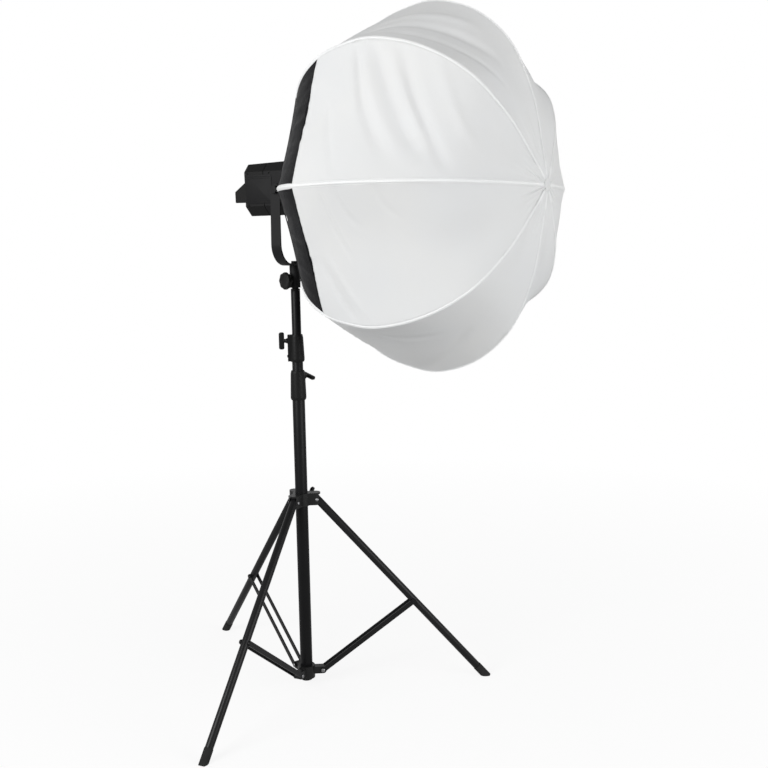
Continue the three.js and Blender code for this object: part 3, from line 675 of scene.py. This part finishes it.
STITCH_PITCH = 0.0055
STITCH_LONG = 0.0036
STITCH_R = 0.00035
STITCH_SIDES = 5
# A stitch's rounds, each as its place along the stitch, and its radius and rise in stitch radii.
STITCH_ROUNDS = ((-0.5, 0.3, -0.3), (-0.3, 1, 0.5), (0.3, 1, 0.5), (0.5, 0.3, -0.3))
# The rows of stitches at a rib, each as its place in tape half widths and its lift off the cloth.
STITCH_ROWS = ((-0.5, 0.0009), (0.5, 0.0009), (-1.7, 0.0002), (1.7, 0.0002))
STITCHES_FROM, STITCHES_TO = RING_AT + 0.02, 0.94
STITCHED_SHARE = 0.62  # share of a rib's length that its number of stitches is worked out from


def stitch_line(places, outward, along):
    """Points and faces of a row of stitches that lie on a line of places."""
    points, faces = [], []
    for place, out, ahead in zip(places, outward, along):
        side = np.cross(ahead, out)
        first = len(points)
        for slide, swell, rise in STITCH_ROUNDS:
            for k in range(STITCH_SIDES):
                a = 2 * math.pi * k / STITCH_SIDES
                points.append(place + ahead * STITCH_LONG * slide
                              + side * STITCH_R * swell * math.cos(a)
                              + out * STITCH_R * (swell * math.sin(a) + rise))
        last = first + (len(STITCH_ROUNDS) - 1) * STITCH_SIDES
        faces += grid_faces(len(STITCH_ROUNDS), STITCH_SIDES, first=first)
        faces.append(tuple(first + k for k in range(STITCH_SIDES - 1, -1, -1)))
        faces.append(tuple(last + k for k in range(STITCH_SIDES)))
    return points, faces


def rib_stitches(turn):
    """Two rows of stitches along a rib's tape, and one row on the cloth on each side of it."""
    count = int(STITCHED_SHARE * RIB_LENGTH / STITCH_PITCH)
    share = np.linspace(STITCHES_FROM, STITCHES_TO, count)
    radius = rib_at(share)[:, 1]
    _, outward, along = rib_frame(share, turn)
    meshes = []
    for across, lift in STITCH_ROWS:
        turns = turn + across * TAPE_HALF / radius
        bend = 0.0 if abs(across) < 1 else math.copysign(0.35, across)
        lean = np.stack([-np.sin(turns), np.cos(turns), np.zeros(len(turns))], -1) * bend
        out = outward + lean
        out /= np.linalg.norm(out, axis=-1, keepdims=True)
        points, faces = stitch_line(cloth_point(share, turns) + out * lift, out, along)
        meshes.append(mesh_from("stitches", points, faces, LANTERN))
    return meshes


stitches = joined("rib_stitches", [m for turn in RIB_TURNS for m in rib_stitches(turn)])
new_object("rib_stitches", stitches, THREAD_WHITE, "softbox")


def cloth_ring(name, share, radius, lift, flat):
    """A rolled black edge or piping that runs round all the gores at one share of the ribs."""
    columns, sides = RIB_COUNT * GORE_COLUMNS, 10
    turn = np.arange(columns) / columns * 2 * np.pi
    near = cloth_point(np.array([[share - 0.002], [share], [share + 0.002]]), turn[None])
    normal = normals_of(near)[1]
    along = near[2] - near[0]
    along /= np.linalg.norm(along, axis=-1, keepdims=True)
    a = (np.arange(sides) / sides * 2 * np.pi)[:, None, None]
    loop = near[1] + normal * lift + radius * (np.cos(a) * along + flat * np.sin(a) * normal)
    mesh = mesh_from(name, loop, grid_faces(sides, columns, closed_rows=True), LANTERN)
    tidy(mesh)
    new_object(name, mesh, BLACK_TAPE, "softbox")


cloth_ring("ring_piping", RING_AT - 0.010, radius=0.0014, lift=-0.0008, flat=0.5)
cloth_ring("skirt_seam", 0.165, radius=0.0017, lift=0.0004, flat=0.7)
cloth_ring("skirt_hem", 0.008, radius=0.0030, lift=0.0, flat=0.8)
cloth_ring("skirt_band", 0.055, radius=0.0100, lift=0.0002, flat=0.08)

HUB_FORWARD = RIB_LINE[-1][0]
# The hub's cloth cap as [radius, height over the rib's end].
HUB_CAP = [[0, -0.002], [0.013, -0.002], [0.0145, -0.0012], [0.014, -0.0002],
           [0.012, 0.0008], [0.009, 0.0016], [0.005, 0.0021], [0, 0.0023]]
cap = lathe([[radius, HUB_FORWARD + height] for radius, height in HUB_CAP], LANTERN, 48)
new_object("hub_cap_cloth", cap, WHITE, "softbox")


# ---- Carried-over CAD nodes: finish and softened edges ----

def dress(node, material, edge=0.0006, segments=2, angle=32):
    """Gives a CAD node its material, and rounds its edges with modifiers only."""
    made = NODES[node]
    made.data.materials.clear()
    made.data.materials.append(material)
    for name in [a.name for a in made.data.attributes if a.name == "custom_normal"]:
        made.data.attributes.remove(made.data.attributes[name])
    for polygon in made.data.polygons:
        polygon.use_smooth = True
    weld = made.modifiers.new("weld", "WELD")
    weld.merge_threshold = 0.00001
    if edge:
        bevel = made.modifiers.new("edges", "BEVEL")
        bevel.width = edge
        bevel.segments = segments
        bevel.limit_method = "ANGLE"
        bevel.angle_limit = math.radians(angle)
        bevel.miter_outer = "MITER_ARC"
    even = made.modifiers.new("shading", "WEIGHTED_NORMAL")
    even.keep_sharp = False
    even.weight = 100


def each(pattern, count=3):
    return [pattern.format(n) for n in range(1, count + 1)]


for node in ("strut_hub", "leg_collar"):
    dress(node, CASTING_SHINE, 0.0012, 3)
for node in ("lower_clamp", "upper_clamp", "base_plug"):
    dress(node, CASTING, 0.0009, 3)
for node in each("strut_{}_bar_a") + each("strut_{}_bar_b"):
    dress(node, LEG_TUBE, 0.0007)
for node in each("leg_{}_foot"):
    dress(node, FOOT, 0.0036, 5)
for node in ("yoke_bracket", "yoke_receiver", "pan_bolt", "tilt_bolt"):
    dress(node, YOKE, 0.0006)
dress("lamp_body", LAMP, 0.0016, 3)
dress("lamp_rear_cover", LAMP_DARK, 0.0010)
dress("lamp_handle", LAMP_DARK, 0.0022, 4)
for node in ("fan_frame", "fan_rotor", "front_hub", "mount_latch", "power_button"):
    dress(node, LAMP_DARK, 0.0004)
for node in ("heat_sink", "mount_ring", "speedring"):
    dress(node, ALUMINIUM, 0.0003)
for node in ("led_board", "driver_board"):
    dress(node, BOARD, 0.0)
for node in each("rib_{}", RIB_COUNT):
    dress(node, ROD, 0.0, angle=80)
dress("dimmer_knob", LAMP_DARK, 0.0006)
dress("top_stud", CASTING, 0.0004)


# ---- Tubes, rivets and knobs as smooth pieces ----

def column_tube(name, node, wall, body):
    """A round tube on the column's axis, as long and as thick as its CAD node."""
    low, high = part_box(node)
    radius = (high.x - low.x) / 2
    profile = rounded_ends(radius, low.z, high.z, bore=radius - wall)
    mesh = lathe(profile, Matrix.Translation((COLUMN.x, COLUMN.y, 0)))
    made = new_object(name, mesh, TUBE, body)
    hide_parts(node)


TUBE_WALL = 0.0015
column_tube("base_tube_smooth", "base_tube", TUBE_WALL, "stand_base")
column_tube("mid_tube_smooth", "mid_tube", TUBE_WALL, "mid_column")
column_tube("top_tube_smooth", "top_tube", TUBE_WALL, "top_column")

LEG_R = 0.0095
LEG_WALL = 0.0012
LEG_TOP = 0.006  # how far a leg's tube reaches past its fold's pivot
FOOT_START = 0.016  # the tube ends this far short of the foot's mount
MOUNTS = {mount["name"]: Vector(mount["pos_m"]) for mount in frame["record"]["mounts"]}


def outward_axes(origin, out, up=Vector((0, 0, 1))):
    """Axes whose Z points along out, with Y as near to up as it can be."""
    out = out.normalized()
    side = up.cross(out).normalized()
    return axes(side, out.cross(side), out, origin)


def leg_tube(number):
    """A leg's round tube, from its fold's pivot down to its foot."""
    pivot = Vector(JOINTS[f"leg_{number}_fold"]["pos_m"])
    down = MOUNTS[f"foot_{number}"] - pivot
    profile = rounded_ends(LEG_R, -LEG_TOP, down.length - FOOT_START, bore=LEG_R - LEG_WALL)
    mesh = lathe(profile, outward_axes(pivot, down), 48)
    made = new_object(f"leg_{number}_smooth", mesh, LEG_TUBE, f"leg_{number}")
    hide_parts(f"leg_{number}_tube")


DOME = 0.0018  # height of a rivet head
SHANK_R = 0.0024
DOME_STEPS = 4


def rivet(name, node, joint, body):
    """A steel rivet with domed heads through a hinge, as long and as wide as its CAD node."""
    where = JOINTS[joint]
    origin, axis = Vector(where["pos_m"]), Vector(where["axis"]).normalized()
    cad = NODES[node]
    offsets = [cad.matrix_world @ corner.co - origin for corner in cad.data.vertices]
    along = [offset.dot(axis) for offset in offsets]
    head = max((offset - axis * offset.dot(axis)).length for offset in offsets)
    reach = (max(along) - min(along)) / 2
    middle = origin + axis * (max(along) + min(along)) / 2
    profile = [[0, -reach]]
    for k in range(1, DOME_STEPS + 1):
        a = k / DOME_STEPS * math.pi / 2
        profile.append([head * math.sin(a), -reach + DOME * (1 - math.cos(a))])
    profile += [[head, -reach + DOME * 1.15], [SHANK_R, -reach + DOME * 1.2]]
    profile += [[r, -z] for r, z in reversed(profile)]
    mesh = lathe(profile, outward_axes(middle, axis), 32)
    made = new_object(name, mesh, STEEL, body)
    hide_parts(node)


for n in (1, 2, 3):
    leg_tube(n)
    rivet(f"leg_{n}_rivet", f"leg_{n}_pin", f"leg_{n}_fold", "leg_collar")
    rivet(f"strut_{n}_rivet", f"strut_{n}_pin", f"strut_{n}_fold", "stand_base")


def knob_axes(joint):
    """Axes at a clamp knob's joint, on the column's axis, with Z out along the screw."""
    where = JOINTS[joint]
    out = Vector(where["axis"]).normalized()
    origin = Vector((COLUMN.x, COLUMN.y, where["pos_m"][2]))
    return outward_axes(origin, out)


WING_LONG, WING_DEEP, WING_WIDE = 0.041, 0.013, 0.008
WING_CORNER = 0.0045
WING_EDGE = 0.0022
WING_WAIST = 0.16  # how much of its depth the wing loses at the middle
STEM_LONG = 0.008  # from the clamp's face to the wing
SCREW_PITCH = 0.001


def wing_knob(name, node, joint, body, start, face, roll):
    """A T-shaped clamp knob: a threaded screw, a collar, and a waisted cross handle."""
    place = knob_axes(joint) @ Matrix.Rotation(roll - math.pi / 2, 4, "Z")
    base = face + STEM_LONG
    outline = []
    for x, y in rounded_outline(WING_LONG, WING_DEEP, WING_CORNER, 8):
        share = min(1.0, abs(x) / (WING_LONG / 2))
        waist = 1 - WING_WAIST * math.cos(share * math.pi / 2)
        outline.append([x, y * (waist if y < 0 else 1)])
    lift = Matrix.Translation((0, 0, base + WING_DEEP / 2))
    stand = Matrix.Rotation(math.pi / 2, 4, "X")
    centre = Matrix.Translation((0, 0, -WING_WIDE / 2))
    wing = slab(outline, WING_WIDE, WING_EDGE, place @ lift @ stand @ centre, 4)
    stem = lathe([[0, face + 0.0003], [0.0062, face + 0.0003], [0.0066, face + 0.001],
                  [0.0062, face + 0.0025], [0.0048, face + 0.0045], [0.0046, base],
                  [0.0050, base + 0.002], [0, base + 0.003]], place, 40)
    thread = []
    z = start
    while z < face + 0.002:
        thread += [[0.0030, z], [0.0026, z + SCREW_PITCH / 2]]
        z += SCREW_PITCH
    screw = lathe([[0, start]] + thread + [[0.0028, z], [0, z]], place, 24)
    mesh = joined(name, [wing, stem])
    made = new_object(name, mesh, CASTING, body)
    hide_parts(node)
    new_object(f"{name}_screw", screw, STEEL, body)


wing_knob("collar_wing_knob", "collar_knob", "collar_knob_turn", "collar_knob",
          start=0.016, face=0.028, roll=math.radians(25))
wing_knob("lower_wing_knob", "lower_clamp_knob", "lower_clamp_turn", "lower_clamp_knob",
          start=0.016, face=0.023, roll=math.radians(108))
wing_knob("upper_wing_knob", "upper_clamp_knob", "upper_clamp_turn", "upper_clamp_knob",
          start=0.014, face=0.022, roll=0.0)

LOBES = 8
LOBE_DEPTH = 0.0014
LOBE_STEPS = 128


def lobed_round(radius, scale, z):
    """Points at height z round a circle with finger lobes."""
    row = []
    for k in range(LOBE_STEPS):
        a = 2 * math.pi * k / LOBE_STEPS
        r = (radius - LOBE_DEPTH * (0.5 - 0.5 * math.cos(LOBES * a))) * scale
        row.append([r * math.cos(a), r * math.sin(a), z])
    return row


def lobed_knob(name, node, matrix, body, radius, z0, z1, neck, neck_from):
    """A round knob with finger lobes and a dished face, on a short neck."""
    thick = z1 - z0
    rows = [(0.001, z0), (0.90, z0), (0.97, z0 + thick * 0.06), (1.0, z0 + thick * 0.22),
            (1.0, z0 + thick * 0.74), (0.97, z0 + thick * 0.92), (0.90, z1), (0.72, z1),
            (0.64, z1 - thick * 0.12), (0.30, z1 - thick * 0.16), (0.001, z1 - thick * 0.17)]
    points = [p for scale, z in rows for p in lobed_round(radius, scale, z)]
    disc = mesh_from("disc", points, grid_faces(len(rows), LOBE_STEPS), matrix)
    tidy(disc)
    stem = lathe([[0, neck_from], [neck, neck_from], [neck, z0 - 0.001], [neck * 1.25, z0 + 0.001],
                  [0, z0 + 0.001]], matrix, 40)
    made = new_object(name, joined(name, [disc, stem]), CASTING, body)
    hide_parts(node)


receiver_axes = knob_axes("receiver_knob_turn")
lobed_knob("receiver_lobed_knob", "receiver_knob", receiver_axes, "receiver_knob",
           radius=0.0205, z0=0.023, z1=0.033, neck=0.006, neck_from=0.0183)
low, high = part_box("tilt_knob")
tilt_joint = Vector(JOINTS["lamp_tilt"]["pos_m"])
tilt_axes = outward_axes(Vector((COLUMN.x, tilt_joint.y, tilt_joint.z)), SIDE)
face = high.x - COLUMN.x
lobed_knob("tilt_lobed_knob", "tilt_knob", tilt_axes, "tilt_knob",
           radius=0.018, z0=face - 0.013, z1=face, neck=0.009, neck_from=face - 0.018)


# ---- Small parts of the lamp and yoke ----

# The lamp's own millimetres: sideways, up from the light's axis, and forward.
LAMP_HALF = 60
LAMP_REAR = -92.6
LIGHT_DROP = 14.7  # the light's axis is this far below the tilt pivot
YOKE_OUT = 76
PANEL_UP, PANEL_AHEAD = 17, -53
PANEL_HEIGHT = 66
PANEL_WIDTH = 72
PANEL_THICK = 0.9
LINE_WIDTH, LINE_HEIGHT, LINE_THICK = 62, 1.6, 0.5
LINE_UPS = (46, 42, -8, -12)
SIDE_SCREWS = ((54, -84), (54, -24), (54, 22), (-19.5, -84), (-19.5, 22))
REAR_SCREWS = [(x, up) for x in (-46, 46) for up in (56, -24)]
INLET_UP = -26

# In metres.
INLET_DEPTH = 0.0030
PIN_START = 0.0034
PIN_PLACES = ((-0.0055, -0.001), (0, 0.0015), (0.0055, -0.001))


def on_head(x, up, ahead):
    """A place given in the lamp's own millimetres."""
    return HEAD @ Vector((x * MM, up * MM, ahead * MM))


def facing(x, up, ahead, side):
    """Axes on the lamp's side face, with Z out of the face and Y up."""
    out = SIDE * side
    return axes(UPWARD.cross(out), UPWARD, out, on_head(x, up, ahead))


def screw_head(matrix, radius, height):
    """A pan-head screw with a round socket."""
    socket = radius * 0.45
    profile = [[0, 0], [radius, 0], [radius, height * 0.5], [radius * 0.9, height * 0.85],
               [radius * 0.72, height], [socket * 1.1, height], [socket, height * 0.93],
               [socket, height * 0.35], [0, height * 0.35]]
    return lathe(profile, matrix, 24)


def plate_on(matrix, width, height, thick, corner, bevel):
    """A plate with round corners, with its sizes in millimetres."""
    outline = rounded_outline(width * MM, height * MM, corner * MM)
    return slab(outline, thick * MM, bevel * MM, matrix)


def side_parts(side, name):
    """A cover panel with its lines and screws on one side of the lamp, and the yoke's pivot cap."""
    middle = facing(LAMP_HALF * side, PANEL_UP, PANEL_AHEAD, side)
    panel = plate_on(middle, PANEL_WIDTH, PANEL_HEIGHT, PANEL_THICK, corner=4, bevel=0.3)
    new_object(f"lamp_{name}_panel", panel, PANEL, "lamp")
    out = (LAMP_HALF + PANEL_THICK) * side
    lines = [plate_on(facing(out, up, PANEL_AHEAD, side), LINE_WIDTH, LINE_HEIGHT, LINE_THICK,
                      corner=0.7, bevel=0.2) for up in LINE_UPS]
    new_object(f"lamp_{name}_lines", joined("lines", lines), PANEL, "lamp")
    screws = [screw_head(facing(LAMP_HALF * side, up, ahead, side), radius=0.0022, height=0.0012)
              for up, ahead in SIDE_SCREWS]
    new_object(f"lamp_{name}_screws", joined("screws", screws), CASTING, "lamp")
    cap = screw_head(facing(YOKE_OUT * side, LIGHT_DROP, 0, side), radius=0.0085, height=0.0042)
    new_object(f"yoke_{name}_pivot_cap", cap, CASTING, "yoke")


def rear_facing(x, up):
    """Axes on the lamp's rear face, with Z out of the face and Y up."""
    return axes(-SIDE, UPWARD, -FORWARD, on_head(x, up, LAMP_REAR))


def rear_parts():
    """A mains inlet with its pins and four screws on the lamp's rear face."""
    back = rear_facing(0, INLET_UP)
    shell = slab(rounded_outline(0.027, 0.020, 0.003), INLET_DEPTH, 0.0005, back)
    well = slab(rounded_outline(0.021, 0.014, 0.002), 0.0006, 0.0002,
                back @ Matrix.Translation((0, 0, INLET_DEPTH)))
    new_object("power_inlet", shell, CASTING, "lamp")
    new_object("power_inlet_well", well, CASTING_SHINE, "lamp")
    pins = [slab(rounded_outline(0.002, 0.005, 0.0004), 0.0012, 0.0003,
                 back @ Matrix.Translation((x, y, PIN_START)))
            for x, y in PIN_PLACES]
    new_object("power_inlet_pins", joined("pins", pins), STEEL, "lamp")
    screws = [screw_head(rear_facing(x, up), radius=0.0024, height=0.0013)
              for x, up in REAR_SCREWS]
    new_object("rear_cover_screws", joined("screws", screws), CASTING, "lamp")


side_parts(-1, "near")
side_parts(1, "far")
rear_parts()


# ---- Stage, light and camera ----

FLOOR_HALF = 30.0
FADE_FROM, FADE_TO = 0.5, 2.6  # the floor turns white between these distances
FADE_LEAST = 0.86  # share of plain white in the floor at its middle
WHITE_LEVEL = 1.0  # brightness of the floor and surround to the camera
FLOOR_LIGHT = 0.48
HORIZON_LIGHT = 0.73
ZENITH_LIGHT = 0.24
KEY_FROM_COLUMN = Vector((-3.5, 0.9, 2.1))
FILL_FROM_COLUMN = Vector((-0.4, -3.9, 1.3))
# The camera's place, turns and lens are from a fit of the stand's and the lantern's outlines.
CAMERA_FROM_COLUMN = Vector((-2.2626, -1.4834, 1.1973))
CAMERA_HEADING = math.radians(61.12)  # from +Y towards +X
CAMERA_DOWN = math.radians(9.261)
CAMERA_ROLL = math.radians(-1.005)
CAMERA_LENS = 53.31
SENSOR_WIDTH = 36.0


def stage():
    """A wide pale floor that fades into a white surround."""
    corners = [[FLOOR_HALF * x, FLOOR_HALF * y, 0] for x, y in ((-1, -1), (1, -1), (1, 1), (-1, 1))]
    mesh = mesh_from("floor", corners, [(0, 1, 2, 3)])
    floor = bpy.data.objects.new("floor", mesh)
    bpy.context.scene.collection.objects.link(floor)
    paint = Paint("pale_floor")
    place = paint.add("ShaderNodeTexCoord")
    away = paint.add("ShaderNodeVectorMath", operation="LENGTH")
    paint.set(away.inputs[0], place.outputs["Object"])
    fade = paint.add("ShaderNodeMapRange", {
        "Value": away.outputs["Value"], "From Min": FADE_FROM, "From Max": FADE_TO,
        "To Min": FADE_LEAST, "To Max": 1.0})
    path = paint.add("ShaderNodeLightPath")
    level = paint.ramp(path.outputs["Is Camera Ray"], FLOOR_LIGHT, WHITE_LEVEL)
    seen = paint.add("ShaderNodeEmission", {"Color": grey(1.0), "Strength": level})
    body = paint.add("ShaderNodeBsdfDiffuse", {"Color": grey(0.95)})
    mix = paint.add("ShaderNodeMixShader", {"Fac": fade})
    paint.set(mix.inputs[1], body)
    paint.set(mix.inputs[2], seen)
    mesh.materials.append(paint.finish(mix))


def surround():
    """A world that is white to the camera, and as a light dimmer overhead than all round."""
    world = bpy.data.worlds.new("studio")
    bpy.context.scene.world = world
    world.use_nodes = True
    tree = world.node_tree
    tree.nodes.clear()
    out = tree.nodes.new("ShaderNodeOutputWorld")
    path = tree.nodes.new("ShaderNodeLightPath")
    shade = tree.nodes.new("ShaderNodeBackground")
    shade.inputs["Color"].default_value = grey(1.0)
    where = tree.nodes.new("ShaderNodeTexCoord")
    parts = tree.nodes.new("ShaderNodeSeparateXYZ")
    height = tree.nodes.new("ShaderNodeMapRange")
    height.inputs["To Min"].default_value = HORIZON_LIGHT
    height.inputs["To Max"].default_value = ZENITH_LIGHT
    level = tree.nodes.new("ShaderNodeMapRange")
    level.inputs["To Max"].default_value = WHITE_LEVEL
    tree.links.new(where.outputs["Generated"], parts.inputs[0])
    tree.links.new(parts.outputs["Z"], height.inputs["Value"])
    tree.links.new(height.outputs[0], level.inputs["To Min"])
    tree.links.new(path.outputs["Is Camera Ray"], level.inputs["Value"])
    tree.links.new(level.outputs[0], shade.inputs["Strength"])
    tree.links.new(shade.outputs[0], out.inputs["Surface"])


def soft_light(name, place, target, size, power):
    """A rectangular area light that faces a target."""
    data = bpy.data.lights.new(name, "AREA")
    data.shape = "RECTANGLE"
    data.size, data.size_y = size
    data.energy = power
    light = bpy.data.objects.new(name, data)
    light.location = place
    light.rotation_mode = "QUATERNION"
    light.rotation_quaternion = (Vector(target) - Vector(place)).to_track_quat("-Z", "Y")
    bpy.context.scene.collection.objects.link(light)


def camera():
    """The camera stands on the -X -Y side, near the lamp's height, and looks slightly down."""
    data = bpy.data.cameras.new("camera")
    data.lens = CAMERA_LENS
    data.sensor_width = SENSOR_WIDTH
    made = bpy.data.objects.new("camera", data)
    level = math.cos(CAMERA_DOWN)
    ahead = Vector((math.sin(CAMERA_HEADING) * level, math.cos(CAMERA_HEADING) * level,
                    -math.sin(CAMERA_DOWN)))
    made.location = COLUMN + CAMERA_FROM_COLUMN
    turn = ahead.to_track_quat("-Z", "Y").to_matrix() @ Matrix.Rotation(CAMERA_ROLL, 3, "Z")
    made.rotation_mode = "QUATERNION"
    made.rotation_quaternion = turn.to_quaternion()
    bpy.context.scene.collection.objects.link(made)
    bpy.context.scene.camera = made


stage()
surround()
lantern_middle = HEAD @ Vector((0, 0, 0.35))
soft_light("key", COLUMN + KEY_FROM_COLUMN, lantern_middle, size=(2.0, 1.8), power=108)
soft_light("front_fill", COLUMN + FILL_FROM_COLUMN, lantern_middle, size=(2.6, 2.0), power=72)
camera()
bpy.context.scene.view_settings.view_transform = "Standard"
